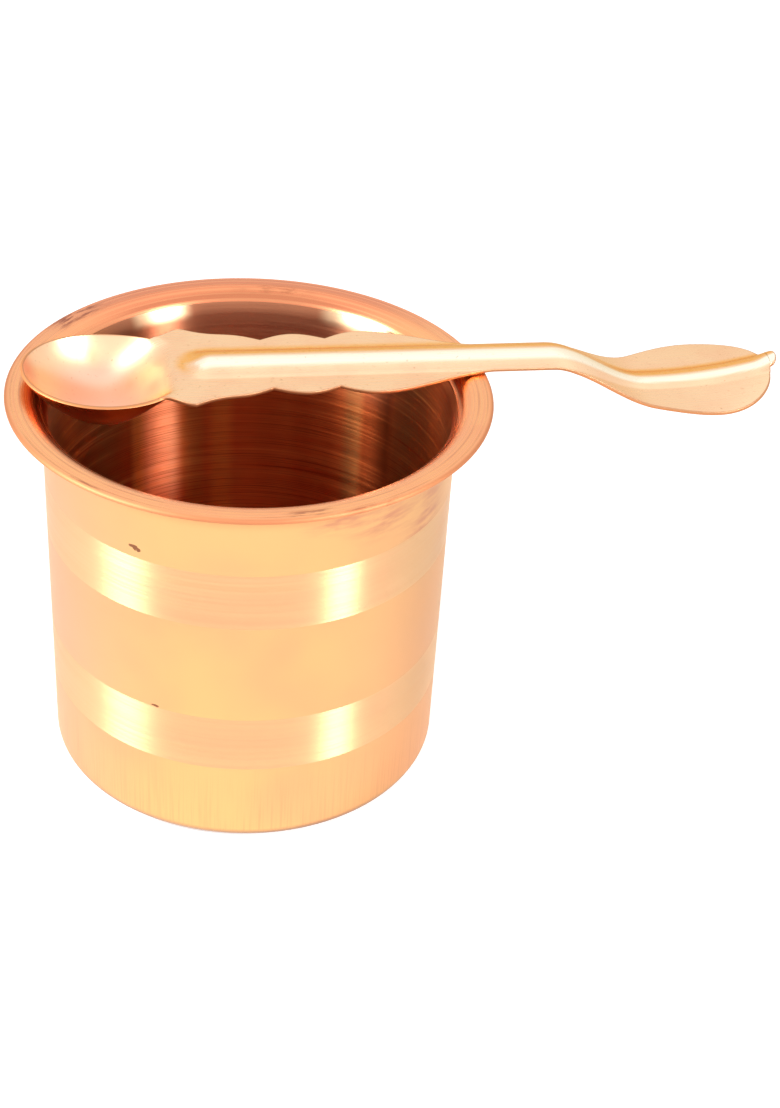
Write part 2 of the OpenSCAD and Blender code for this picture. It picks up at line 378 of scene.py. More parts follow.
bodyLook = {
    "spread": {"amount": 0.7, "turn": 0.0},
    "lacquer": 0.3,
    "lacquerRoughness": 0.3,
    "gold": (0.905, 0.52, 0.212, 1.0),
    "rose": (0.90, 0.475, 0.215, 1.0),
    "pink": (0.90, 0.475, 0.255, 1.0),
    "brown": (0.60, 0.23, 0.12, 1.0),
    "rust": (0.68, 0.25, 0.15, 1.0),
    "nick": (0.31, 0.115, 0.048, 1.0),
    "roughness": 0.42,
    "wornBy": 0.05,
    "wornSpan": (0.2, 0.8),
    "relief": 0.00003,
    "ringRelief": 0.35,
    "uprightRelief": 0.5,
    "cloudGrain": (45.0, 45.0, 45.0),
    "ringGrain": (30.0, 30.0, 3600.0),
    "uprightGrain": (4200.0, 4200.0, 60.0),
    "patchGrain": (110.0, 110.0, 620.0),
    "tornGrain": (2600.0, 2600.0, 2600.0),
    # noise at which each grain starts to dye and is full, then its least and most dye
    "cloudSpan": (0.4, 0.7),
    "ringSpan": (0.5, 0.85, 0.0, 0.25),
    "uprightSpan": (0.45, 0.7, 0.0, 0.22),
    "patchSpan": (0.36, 0.64),
    "tornSpan": (0.16, 0.30),
    "wallFrom": (0.0285, 0.0300),
    "baseScale": 900.0,
    "baseLines": (0.003, 0.018),
    "baseShade": (0.0024, 0.0009, 0.0, 0.7),  # heights, then least and most dye
    "underLip": (0.0585, 0.0615),
    "underLipShade": 0.35,
    "smudgeDye": 0.85,
    "underLipRoughness": 0.25,
    "wallRadius": 0.0320,
    # degrees round the cup, height, and reach
    "warmSide": (-30.0, 0.028, (0.03, 0.03, 0.05)),
    "pinkSide": (-155.0, 0.032, (0.028, 0.028, 0.06)),
    "smudges": (
        (-66.0, 0.0590, (0.008, 0.006, 0.0028)),
        (-52.0, 0.0570, (0.009, 0.009, 0.0045)),
        (-34.0, 0.0540, (0.009, 0.009, 0.0080)),
    ),
    "nicks": (
        (-121.7, 0.05296, (0.0012, 0.0012, 0.00055)),
        (-120.7, 0.05278, (0.0011, 0.0011, 0.00080)),
        (-119.8, 0.05256, (0.0007, 0.0007, 0.00070)),
        (-115.7, 0.02460, (0.0014, 0.0012, 0.00040)),
        (-114.9, 0.02450, (0.0006, 0.0006, 0.00045)),
    ),
}


def bodyCopper(look):
    copper, tree, shader, place = newCopper("cupBodySatin", look)

    def near(angle, z, reach):
        return spot(tree, place, roundAxis(angle, look["wallRadius"], z), reach)

    radius, height = roundPlace(tree, place)[1:]
    onWall = ramp(tree, radius, *look["wallFrom"])
    cloud = grain(tree, place, look["cloudGrain"], detail=2.0)
    baseRings = turnedLines(tree, radius, look["baseScale"])
    wallRings = grain(tree, place, look["ringGrain"], detail=4.0)
    rings = ramp(tree, onWall, 0.0, 1.0, baseRings, wallRings)
    uprights = grain(tree, place, look["uprightGrain"], detail=2.0)
    patch = ramp(tree, grain(tree, place, look["patchGrain"], detail=4.0), *look["patchSpan"])
    ragged = grain(tree, place, look["tornGrain"], detail=3.0)
    colour = dye(tree, ramp(tree, cloud, *look["cloudSpan"]), look["gold"], look["rose"])
    colour = dye(tree, near(*look["warmSide"]), colour, look["rose"])
    # painted sheen: a paler pink towards the left edge
    colour = dye(tree, near(*look["pinkSide"]), colour, look["pink"])
    colour = dye(tree, ramp(tree, rings, *look["ringSpan"]), colour, look["rose"])
    nearBase = both(tree, onWall, ramp(tree, height, look["baseLines"][1], look["baseLines"][0]))
    lined = both(tree, nearBase, ramp(tree, uprights, *look["uprightSpan"]))
    colour = dye(tree, lined, colour, look["brown"])
    # painted shade: the band just under the lip's overhang is darkened brown
    underLip = ramp(tree, height, *look["underLip"])
    colour = dye(tree, both(tree, underLip, look["underLipShade"]), colour, look["brown"])
    # painted contact shadow: a dark line round the foot, in the nicks' brown
    shaded = both(tree, onWall, ramp(tree, height, *look["baseShade"]))
    colour = dye(tree, shaded, colour, look["nick"])
    for smudge in look["smudges"]:
        smeared = both(tree, both(tree, near(*smudge), patch), look["smudgeDye"])
        colour = dye(tree, smeared, colour, look["rust"])
    for nick in look["nicks"]:
        torn = ramp(tree, both(tree, near(*nick), ragged), *look["tornSpan"])
        colour = dye(tree, torn, colour, look["nick"])
    feed(tree, shader.inputs["Base Color"], colour)
    duller = both(tree, underLip, look["underLipRoughness"])
    feed(tree, shader.inputs["Roughness"], calc(tree, "ADD", wear(tree, cloud, look), duller))
    baseLines = both(tree, both(tree, uprights, nearBase), look["uprightRelief"])
    ringLines = both(tree, rings, look["ringRelief"])
    addBump(tree, shader, calc(tree, "ADD", ringLines, baseLines), look["relief"])
    return copper


bandLook = {
    "spread": {"amount": 1.0, "turn": 0.25},
    "lacquer": 0.3,
    "lacquerRoughness": 0.3,
    "gold": (0.955, 0.555, 0.27, 1.0),
    "rose": (0.955, 0.505, 0.256, 1.0),
    "side": (0.99, 0.59, 0.29, 1.0),
    "sideFrom": (0.017, 0.026),  # metres to the left or right of the axis
    "roughness": 0.37,
    "wornBy": 0.05,
    "wornSpan": (0.25, 0.75),
    "relief": 0.000012,
    "ringGrain": (14.0, 14.0, 3000.0),
    "broadGrain": (9.0, 9.0, 420.0),
    "broadSpan": (0.3, 0.7),
}


def bandCopper(look):
    copper, tree, shader, place = newCopper("cupBandPolish", look)
    rings = grain(tree, place, look["ringGrain"], detail=5.0)
    broad = grain(tree, place, look["broadGrain"], detail=3.0)
    aside = calc(tree, "ABSOLUTE", splitPlace(tree, place)["X"])
    colour = dye(tree, ramp(tree, broad, *look["broadSpan"]), look["gold"], look["rose"])
    # painted light: the band's left and right sides are made lighter, to match the body there
    colour = dye(tree, ramp(tree, aside, *look["sideFrom"]), colour, look["side"])
    feed(tree, shader.inputs["Base Color"], colour)
    feed(tree, shader.inputs["Roughness"], wear(tree, rings, look))
    addBump(tree, shader, rings, look["relief"])
    return copper


lipLook = {
    "spread": {"amount": 0.5, "turn": 0.25},
    "orange": (0.97, 0.47, 0.205, 1.0),
    "rose": (0.94, 0.40, 0.19, 1.0),
    "stain": (0.38, 0.11, 0.055, 1.0),
    "edge": (0.56, 0.22, 0.105, 1.0),
    "farLipShade": (0.72, 0.215, 0.11, 1.0),
    "roughness": 0.27,
    "wornBy": 0.08,
    "wornSpan": (0.25, 0.75),
    "relief": 0.00004,
    "edgeRoughness": 0.7,
    "edgeFrom": (0.03680, 0.03730),
    "edgeShadeShare": 0.7,
    "ringScale": 1700.0,
    "cloudGrain": (70.0, 70.0, 70.0),
    "patchGrain": (0.16, 1500.0, 1.0),  # for each degree round and metre out
    "lineGrain": (0.045, 300.0, 1.0),
    # noise at which each grain starts to dye and is full, then its least and most dye
    "cloudSpan": (0.35, 0.75),
    "patchSpan": (0.42, 0.6),
    "lineSpan": (0.38, 0.62, 0.05, 0.35),
    "ringSpan": (0.42, 0.68, 0.0, 0.7),
    "lines": (0.0352, 0.03655),
    "lineWide": 0.00024,
    "farStretch": (92.0, 30.0, 40.0),
    "farShadeShare": 0.8,
    "stainCore": 0.3,  # share of a stain's reach that is full
    # degrees round, half of the stretch, distance out, half of the width, strength
    "stains": (
        (142.0, 12.0, 0.0362, 0.0022, 1.0),
        (-76.0, 7.0, 0.0361, 0.0010, 0.75),
        (-62.0, 10.0, 0.0372, 0.0005, 0.7),
        (-130.0, 7.0, 0.0367, 0.0004, 0.7),
        (84.0, 14.0, 0.0340, 0.0013, 0.45),
    ),
}


def lipCopper(look):
    copper, tree, shader, place = newCopper("cupLip", look)
    angle, radius = roundPlace(tree, place)[:2]
    rings = turnedLines(tree, radius, look["ringScale"])
    unrolled = addNode(tree, "ShaderNodeCombineXYZ")
    feed(tree, unrolled.inputs["X"], angle)
    feed(tree, unrolled.inputs["Y"], radius)
    unrolled = unrolled.outputs[0]
    cloud = grain(tree, place, look["cloudGrain"], detail=4.0)
    patch = ramp(tree, grain(tree, unrolled, look["patchGrain"], detail=4.0), *look["patchSpan"])
    broken = ramp(tree, grain(tree, unrolled, look["lineGrain"], detail=3.0), *look["lineSpan"])
    colour = dye(tree, ramp(tree, cloud, *look["cloudSpan"]), look["orange"], look["rose"])
    # painted shade: the far side of the lip is darkened
    farLipShade = both(tree, stripe(tree, angle, *look["farStretch"]), look["farShadeShare"])
    colour = dye(tree, farLipShade, colour, look["farLipShade"])
    colour = dye(tree, ramp(tree, rings, *look["ringSpan"]), colour, look["rose"])
    for line in look["lines"]:
        scored = stripe(tree, radius, line, 0.0, look["lineWide"])
        colour = dye(tree, both(tree, scored, broken), colour, look["stain"])
    core = look["stainCore"]
    for turn, reach, out, width, strength in look["stains"]:
        along = stripe(tree, angle, turn, core * reach, (1 - core) * reach)
        near = both(tree, along, stripe(tree, radius, out, core * width, (1 - core) * width))
        colour = dye(tree, both(tree, both(tree, near, patch), strength), colour, look["stain"])
    # painted shade: the lip's rolled outer edge is darkened; it is also made rougher below
    onEdge = ramp(tree, radius, *look["edgeFrom"])
    colour = dye(tree, both(tree, onEdge, look["edgeShadeShare"]), colour, look["edge"])
    feed(tree, shader.inputs["Base Color"], colour)
    edgeWear = both(tree, onEdge, look["edgeRoughness"] - look["roughness"])
    feed(tree, shader.inputs["Roughness"], calc(tree, "ADD", wear(tree, rings, look), edgeWear))
    addBump(tree, shader, rings, look["relief"])
    return copper


insideLook = {
    "spread": {"amount": 1.0, "turn": 0.25},
    "bright": (0.74, 0.19, 0.05, 1.0),
    "dark": (0.50, 0.085, 0.02, 1.0),
    "olive": (0.42, 0.14, 0.035, 1.0),
    "mouth": (0.60, 0.23, 0.12, 1.0),
    "groove": (0.32, 0.055, 0.013, 1.0),
    "arc": (0.62, 0.30, 0.10, 1.0),
    "sideArcs": ((160.0, 22.0, 12.0), (14.0, 16.0, 12.0)),
    "roughness": 0.35,
    "wornBy": 0.06,
    "wornSpan": (0.25, 0.75),
    "relief": 0.000028,
    "ringGrain": (26.0, 26.0, 1700.0),
    "fineGrain": (40.0, 40.0, 5200.0),
    "floorScale": 900.0,
    "wallFrom": (0.0270, 0.0302),
    "streakGrain": (60.0, 60.0, 6.0),
    "cloudGrain": (50.0, 50.0, 50.0),
    # noise at which each grain starts to dye and is full, then its least and most dye
    "streakSpan": (0.3, 0.7),
    "cloudSpan": (0.5, 0.8, 0.0, 0.6),
    "ringSpan": (0.5, 0.75, 0.0, 0.35),
    "fineSpan": (0.48, 0.66, 0.0, 0.65),
    "arcSpan": (0.52, 0.70, 0.0, 0.55),
    "mouthFrom": (0.045, 0.062),
    "farWall": (92.0, 38.0, 25.0),
    "glint": (0.98, 0.64, 0.38, 1.0),
    "glintFrom": (0.0598, 0.0616),
    "glints": ((118.5, 7.0, 4.0), (56.5, 9.0, 5.0)),
    # degrees round, half width, softness, colour, strength
    "streaks": (
        (164.0, 20.0, 14.0, (0.34, 0.135, 0.040, 1.0), 0.85),
        (16.0, 16.0, 14.0, (0.33, 0.155, 0.052, 1.0), 0.85),
        # the streaks at 127.5, 119.5 and 99.5 degrees are painted reflections
        (127.5, 1.0, 3.0, (0.80, 0.28, 0.07, 1.0), 0.8),
        (119.5, 3.5, 5.0, (0.84, 0.33, 0.16, 1.0), 0.9),
        (108.0, 1.0, 4.5, (0.40, 0.15, 0.035, 1.0), 0.6),
        (99.5, 0.5, 5.0, (0.72, 0.24, 0.05, 1.0), 0.7),
        (55.5, 1.5, 4.0, (0.34, 0.145, 0.045, 1.0), 0.8),
        (47.0, 4.0, 3.5, (0.24, 0.045, 0.012, 1.0), 0.9),
    ),
}


def insideCopper(look):
    copper, tree, shader, place = newCopper("cupInside", look)
    angle, radius, height = roundPlace(tree, place)
    onWall = ramp(tree, radius, *look["wallFrom"])
    floorRings = turnedLines(tree, radius, look["floorScale"])
    wallRings = grain(tree, place, look["ringGrain"], detail=5.0)
    rings = ramp(tree, onWall, 0.0, 1.0, floorRings, wallRings)
    fine = grain(tree, place, look["fineGrain"], detail=3.0)
    streaks = grain(tree, place, look["streakGrain"], detail=2.0)
    cloud = grain(tree, place, look["cloudGrain"], detail=3.0)
    colour = dye(tree, ramp(tree, streaks, *look["streakSpan"]), look["dark"], look["bright"])
    colour = dye(tree, ramp(tree, cloud, *look["cloudSpan"]), colour, look["olive"])
    # darker and lighter streaks at given angles round the wall; the lighter ones are painted reflections
    for turn, half, soft, tint, strength in look["streaks"]:
        near = both(tree, stripe(tree, angle, turn, half, soft), both(tree, onWall, strength))
        colour = dye(tree, near, colour, tint)
    colour = dye(tree, ramp(tree, rings, *look["ringSpan"]), colour, look["bright"])
    colour = dye(tree, ramp(tree, fine, *look["fineSpan"]), colour, look["groove"])
    shining = ramp(tree, rings, *look["arcSpan"])
    for turn, half, soft in look["sideArcs"]:
        near = both(tree, both(tree, shining, onWall), stripe(tree, angle, turn, half, soft))
        colour = dye(tree, near, colour, look["arc"])
    # painted light: the upper part of the far wall is paler and pinker
    farMouth = both(tree, ramp(tree, height, *look["mouthFrom"]), stripe(tree, angle, *look["farWall"]))
    colour = dye(tree, farMouth, colour, look["mouth"])
    onFlare = ramp(tree, height, *look["glintFrom"])
    for turn, half, soft in look["glints"]:
        near = both(tree, onFlare, stripe(tree, angle, turn, half, soft))
        colour = dye(tree, near, colour, look["glint"])
    feed(tree, shader.inputs["Base Color"], colour)
    feed(tree, shader.inputs["Roughness"], wear(tree, rings, look))
    addBump(tree, shader, rings, look["relief"])
    return copper


cupCoppers = {
    "body": bodyCopper(bodyLook),
    "band": bandCopper(bandLook),
    "lip": lipCopper(lipLook),
    "inside": insideCopper(insideLook),
}
cupPiece = spinCup(cupWall, cupCoppers)
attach(cupPiece, "cup")
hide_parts("cup")
print("cup spun:", len(cupPiece.data.polygons), "faces")


# spoon: one stamped sheet, measured along its middle line from the bowl's tip
spoonSheet = {
    "thick": 0.0006,
    "edgeRound": 0.0002,
    "bowlHalf": 0.0123,
    "bowlWide": 0.0233,
    "bowlLeast": 0.05,  # keeps the bowl's curve real past the neck
    "bowlDeep": 0.0062,
    "dishFullness": 4.0,
    "neckAt": 0.0205,
    "neckWide": 0.0189,
    "dishPastNeck": 0.003,
    "dishSoft": 0.15,
    "bowlSag": 0.0001,
    "sagSkew": 1.7,
    "tipLift": 0.0005,
    # length of each stretch, and its width where it ends
    "shoulder": (0.0049, 0.024),
    "firstScallop": (0.0123, 0.0153),
    "secondScallop": (0.0104, 0.00175),  # length, and how far each side swells
    "lastScallop": (0.0056, 0.0196),
    "taper": 0.02,
    "shank": (0.0095, 0.0084),
    "leaf": (0.0266, 0.0226),
    "leafEnd": 0.011,
    "tongue": (0.0012, 0.0038),  # length, and width at its root
    "tongueLift": 0.0008,
    "tongueCurl": 0.0036,
    "ribWide": 0.0084,
    "ribHigh": 0.0015,
    "ribFillet": 0.1,
    "leafRibWide": 0.0056,
    "leafRibHigh": 0.0007,
    "leafDrop": 0.0051,
    "bend": 0.0165,
    "leafCurl": 0.003,
    "leafFold": 0.001,
    "leafSwell": 1.2,
    "ogee": 0.1,
    "swing": 8.5,
    "offset": 0.0048,
    "tipInset": 0.0026,
    "tiltRounds": 6,
    # start and length, in half widths of the rib, of where its flanks change
    "flankFrom": (0.02, 0.2),
    # where the painted shade rings the rib's nose, how wide it fades, and how far it reaches to the front
    "noseShadeAt": 1.1,
    "shadeWide": 0.3,
    "noseShadeFront": (-0.9, 0.9),
    "crestFrom": (-0.03, 0.1),
    "crestTo": (0.5, 0.2),
    "crestNose": (0.2, 0.2),
    "crestLean": 0.5,
    # degrees from and to, and count, of the rows round each end
    "tipRows": (2, 90, 46),
    "leafRows": (0, 88, 40),
    "tongueRows": (0, 84, 10),
    "fewestRows": 4,
    "stepAlong": 0.0005,
    "narrowest": 0.00004,
    "stepsAcross": 44,
    "stepsEdge": 8,
    "edgeSquare": 0.5,
    "edgeShow": 0.5,
}


def ease(u):
    u = np.clip(u, 0, 1)
    return u * u * (3 - 2 * u)


def easeOver(value, start, length):
    return ease((value - start) / length)


def roundEnd(u):
    return np.sqrt(1 - np.clip(u, 0, 1) ** 2)


def mix(a, b, u):
    return a + (b - a) * u


def spoonPlaces(sheet):
    # where each stretch of the handle ends
    scallops = ("shoulder", "firstScallop", "secondScallop", "lastScallop")
    at = {"neck": sheet["neckAt"]}
    along = sheet["neckAt"]
    for name in scallops + ("taper", "shank", "leaf", "leafEnd", "tongue"):
        along += np.ravel(sheet[name])[0]
        at[name] = along
    return at


def bowlWidth(sheet, s):
    half = sheet["bowlWide"] / 2
    narrow = 1 - (sheet["neckWide"] / sheet["bowlWide"]) ** 2
    pastMiddle = (s - sheet["bowlHalf"]) / (sheet["neckAt"] - sheet["bowlHalf"])
    front = roundEnd(1 - s / sheet["bowlHalf"])
    back = np.sqrt(np.maximum(1 - narrow * pastMiddle**2, sheet["bowlLeast"]))
    return half * np.where(s < sheet["bowlHalf"], front, back)


def halfWidth(sheet, at, s):
    shoulderWide = sheet["shoulder"][1]
    cuspWide = sheet["firstScallop"][1]
    swell = 2 * sheet["secondScallop"][1]
    crestWide = sheet["lastScallop"][1]
    shankWide = sheet["shank"][1]
    leafWide = sheet["leaf"][1]

    def share(start, end):
        return np.clip((s - at[start]) / (at[end] - at[start]), 0, 1)

    first = share("shoulder", "firstScallop")
    second = np.sin(math.pi * share("firstScallop", "secondScallop"))
    last = np.sin(math.pi / 2 * share("secondScallop", "lastScallop"))
    tongueEnd = roundEnd(share("leafEnd", "tongue")) * sheet["tongue"][1]
    stretches = (
        ("neck", 2 * bowlWidth(sheet, s)),
        ("shoulder", mix(sheet["neckWide"], shoulderWide, ease(share("neck", "shoulder")))),
        ("firstScallop", mix(shoulderWide, cuspWide, first + sheet["ogee"] * np.sin(math.tau * first))),
        ("secondScallop", cuspWide + swell * second),
        ("lastScallop", mix(cuspWide, crestWide, last)),
        ("taper", mix(crestWide, shankWide, ease(share("lastScallop", "taper")))),
        ("shank", shankWide + 0 * s),
        ("leaf", mix(shankWide, leafWide, ease(share("shank", "leaf") ** sheet["leafSwell"]))),
    )
    wide = np.maximum(leafWide * roundEnd(share("leaf", "leafEnd")), tongueEnd)
    for name, width in reversed(stretches):
        wide = np.where(s < at[name], width, wide)
    return wide / 2


def dishShare(sheet, s, t):
    # 0 at the bowl's edge, 1 at its bottom
    dishEnd = sheet["neckAt"] + sheet["dishPastNeck"]
    reach = np.where(s < sheet["bowlHalf"], sheet["bowlHalf"], dishEnd - sheet["bowlHalf"])
    down = np.clip(1 - ((s - sheet["bowlHalf"]) / reach) ** 2, 0, 1)
    soft = sheet["dishSoft"] * ease((s - sheet["bowlHalf"]) / (sheet["neckAt"] - sheet["bowlHalf"]))
    aside = np.abs(t) / np.maximum(bowlWidth(sheet, s), 1e-6)
    across = np.maximum(0, 1 - aside ** sheet["dishFullness"])
    return down * down / np.maximum(down + soft, 1e-9) * across


def ribHalf(sheet, at, s):
    return mix(sheet["ribWide"], sheet["leafRibWide"], ease((s - at["shank"]) / sheet["bend"])) / 2


def sheetHeight(sheet, at, s, t):
    bendAt = at["shank"]
    length = at["tongue"]
    bendShare = (s - bendAt) / sheet["bend"]
    leafShare = np.clip((s - bendAt - sheet["bend"]) / (length - bendAt - sheet["bend"]), 0, 1)
    bowlShare = np.clip(s / sheet["neckAt"], 0, 1)
    line = sheet["tipLift"] * (1 - bowlShare) ** 2
    line = line - sheet["bowlSag"] * np.sin(math.pi * bowlShare ** sheet["sagSkew"])
    line = line - sheet["leafDrop"] * ease(bendShare) + sheet["leafCurl"] * leafShare**2
    nose = ease((s - at["shoulder"] + sheet["thick"]) / (sheet["ribWide"] / 2))
    curl = ease(1 - (length - s) / sheet["tongueCurl"])
    ribTop = mix(sheet["ribHigh"], sheet["leafRibHigh"], ease(bendShare)) * nose
    ribTop = ribTop + sheet["tongueLift"] * curl
    # an arch with a small fillet along each foot
    arch = 1 - (t / ribHalf(sheet, at, s)) ** 2
    fillet = sheet["ribFillet"]
    rib = ribTop * (arch + np.sqrt(arch**2 + fillet**2)) / (1 + math.sqrt(1 + fillet**2))
    fold = -sheet["leafFold"] * ease(leafShare) * (2 * t / sheet["leaf"][1]) ** 2
    return line - sheet["bowlDeep"] * dishShare(sheet, s, t) + rib + fold


def ribShade(sheet, at, s, t):
    # 1 on the rib's far flank and round its nose, a mask for painted shade there
    noseLength = sheet["ribWide"] / 2
    ahead = np.clip((at["shoulder"] - sheet["thick"] + noseLength - s) / noseLength, 0, 2)
    side = t / ribHalf(sheet, at, s)
    away = np.hypot(side, ahead)
    farFlank = easeOver(side, *sheet["flankFrom"]) * (1 - easeOver(away, 1, sheet["shadeWide"]))
    ring = np.clip(1 - np.abs(away - sheet["noseShadeAt"]) / sheet["shadeWide"], 0, 1)
    return np.maximum(farFlank, ring * easeOver(side, *sheet["noseShadeFront"]))


def ribHighlight(sheet, at, s, t):
    # 1 on the upper part of the rib's near flank, a mask for a painted highlight there
    noseLength = sheet["ribWide"] / 2
    past = (s - at["shoulder"] + sheet["thick"]) / noseLength
    near = -t / ribHalf(sheet, at, s)
    upper = easeOver(near, *sheet["crestFrom"]) * (1 - easeOver(near, *sheet["crestTo"]))
    return upper * easeOver(past - sheet["crestLean"] * near, *sheet["crestNose"])


def sheetNormal(sheet, at, s, t):
    tiny = 0.00002
    slopeS = (sheetHeight(sheet, at, s + tiny, t) - sheetHeight(sheet, at, s - tiny, t)) / (2 * tiny)
    slopeT = (sheetHeight(sheet, at, s, t + tiny) - sheetHeight(sheet, at, s, t - tiny)) / (2 * tiny)
    normal = np.stack([-slopeS, -slopeT, np.ones_like(slopeS)], axis=-1)
    return normal / np.linalg.norm(normal, axis=-1, keepdims=True)


def sheetPoint(sheet, at, s, t, rise):
    middle = np.stack([s, t, sheetHeight(sheet, at, s, t)], axis=-1)
    return middle + sheetNormal(sheet, at, s, t) * rise


def spoonRows(sheet, at):
    # close together round the tip, the leaf's end and the tongue, and a row on each cusp
    tip, leafEnd, tongue = (
        np.radians(np.linspace(*sheet[name])) for name in ("tipRows", "leafRows", "tongueRows")
    )
    rows = list(sheet["bowlHalf"] * (1 - np.cos(tip)))
    for name in list(at)[:-2]:
        steps = max(sheet["fewestRows"], round((at[name] - rows[-1]) / sheet["stepAlong"]))
        rows += list(np.linspace(rows[-1], at[name], steps + 1)[1:])
    rows += list(at["leaf"] + sheet["leafEnd"] * np.sin(leafEnd[1:]))
    rows += list(at["leafEnd"] + sheet["tongue"][0] * np.sin(tongue))
    return np.array(rows)


def outward(loop):
    # unit normals, in plan, of a closed loop that runs clockwise as seen from above
    ahead = np.roll(loop, -1, axis=0) - np.roll(loop, 1, axis=0)
    normals = np.stack([-ahead[:, 1], ahead[:, 0]], axis=-1)
    return normals / np.maximum(np.linalg.norm(normals, axis=-1, keepdims=True), 1e-12)


def sheetGrid(sheet, at):
    # places along and across the sheet, drawn in from the outline by the edge's round
    rows = spoonRows(sheet, at)
    wide = halfWidth(sheet, at, rows)
    side = np.stack([rows, wide], axis=-1)
    slope = np.gradient(side, axis=0)
    normals = np.stack([-slope[:, 1], slope[:, 0]], axis=-1)
    normals /= np.linalg.norm(normals, axis=-1, keepdims=True)
    steep = sheetNormal(sheet, at, rows, wide)[:, 2:]
    inner = side - sheet["edgeRound"] * steep * normals
    inner[:, 1] = np.maximum(inner[:, 1], sheet["narrowest"])
    across = np.linspace(-1, 1, sheet["stepsAcross"] + 1)
    return np.repeat(inner[:, :1], len(across), axis=1), inner[:, 1:] * across


def edgeRings(sheet, at, plan):
    # from the top grid's border to the under grid's border in a half round
    s, t = plan[:, 0], plan[:, 1]
    middle = np.stack([s, t, sheetHeight(sheet, at, s, t)], axis=-1)
    upright = sheetNormal(sheet, at, s, t)
    out = np.concatenate([outward(plan), np.zeros((len(plan), 1))], axis=1)
    out -= upright * np.sum(out * upright, axis=1, keepdims=True)
    out /= np.linalg.norm(out, axis=1, keepdims=True)
    rings = []
    for turn in np.linspace(math.pi / 2, -math.pi / 2, sheet["stepsEdge"] + 1)[1:-1]:
        rise = math.copysign(abs(math.sin(turn)) ** sheet["edgeSquare"], turn)
        reach = math.cos(turn) ** sheet["edgeSquare"]
        rings.append(middle + upright * (sheet["thick"] / 2) * rise + out * sheet["edgeRound"] * reach)
    return rings


def layOnRim(sheet, at, points):
    # the leaf's underside lowest and the rib's crest highest, as the CAD spoon lies across the rim
    low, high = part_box("spoon")
    leaf = points[points[:, 0] > at["shank"]]
    tilt = 0.0
    for _ in range(sheet["tiltRounds"]):
        bottom = leaf[np.argmin(leaf[:, 2] + tilt * leaf[:, 0])]
        crest = points[np.argmax(points[:, 2] + tilt * points[:, 0])]
        tilt = ((high.z - low.z) - (crest[2] - bottom[2])) / (crest[0] - bottom[0])
    lift = low.z - bottom[2] - tilt * bottom[0]
    swing = math.radians(sheet["swing"])
    along = np.array([math.cos(swing), math.sin(swing)])
    sideways = np.array([-math.sin(swing), math.cos(swing)])
    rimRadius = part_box("cup")[1].x
    tipAlong = -math.sqrt((rimRadius - sheet["tipInset"]) ** 2 - sheet["offset"] ** 2)
    placed = np.empty_like(points)
    placed[:, :2] = (tipAlong + points[:, :1]) * along + (sheet["offset"] + points[:, 1:2]) * sideways
    placed[:, 2] = points[:, 2] + lift + tilt * points[:, 0]
    print("spoon lies at a tilt of", round(math.degrees(math.atan(tilt)), 3), "degrees")
    return placed


def stampSpoon(sheet, copper):
    at = spoonPlaces(sheet)
    s, t = sheetGrid(sheet, at)
    top = sheetPoint(sheet, at, s, t, sheet["thick"] / 2)
    under = sheetPoint(sheet, at, s, t, -sheet["thick"] / 2)
    ids = np.arange(s.size).reshape(s.shape)
    border = np.concatenate([ids[:, -1], ids[-1, -2::-1], ids[-2::-1, 0], ids[0, 1:-1]])
    rings = edgeRings(sheet, at, np.stack([s, t], axis=-1).reshape(-1, 2)[border])
    points = np.concatenate([top.reshape(-1, 3), under.reshape(-1, 3)] + rings)

    # points come in this order: the top grid, the under grid, and the edge's rings
    edgeFrom = 2 * s.size
    corners = np.stack([ids[:-1, :-1], ids[1:, :-1], ids[1:, 1:], ids[:-1, 1:]], axis=-1).reshape(-1, 4)
    loops = [border]
    loops += [edgeFrom + i * len(border) + np.arange(len(border)) for i in range(len(rings))]
    loops += [border + s.size]
    faces = [corners, corners[:, ::-1] + s.size]
    for upper, lower in zip(loops, loops[1:]):
        faces.append(np.stack([upper, np.roll(upper, -1), np.roll(lower, -1), lower], axis=-1))

    mesh = bpy.data.meshes.new("spoonSheet")
    mesh.from_pydata(layOnRim(sheet, at, points).tolist(), [], np.concatenate(faces).tolist())
    mesh.shade_smooth()
    mesh.materials.append(copper)
    edge = np.zeros(len(points))
    edge[edgeFrom:] = 1.0
    edge[border] = sheet["edgeShow"]
    below = np.zeros(len(points))
    below[s.size:edgeFrom] = 1.0
    below[edgeFrom + len(border) * (len(rings) // 2):] = 1.0
    marks = {
        "cutEdge": edge,
        "underside": below,
        "ribShade": ribShade(sheet, at, points[:, 0], points[:, 1]),
        "ribHighlight": ribHighlight(sheet, at, points[:, 0], points[:, 1]),
        "inDish": dishShare(sheet, points[:, 0], points[:, 1]),
    }
    for name, values in marks.items():
        mark = mesh.attributes.new(name, "FLOAT", "POINT")
        mark.data.foreach_set("value", values.astype(np.float32))
    laid = mesh.attributes.new("alongSheet", "FLOAT_VECTOR", "POINT")
    laid.data.foreach_set("vector", points.astype(np.float32).ravel())
    spoon = bpy.data.objects.new("spoonSheet", mesh)
    scene.collection.objects.link(spoon)
    return spoon


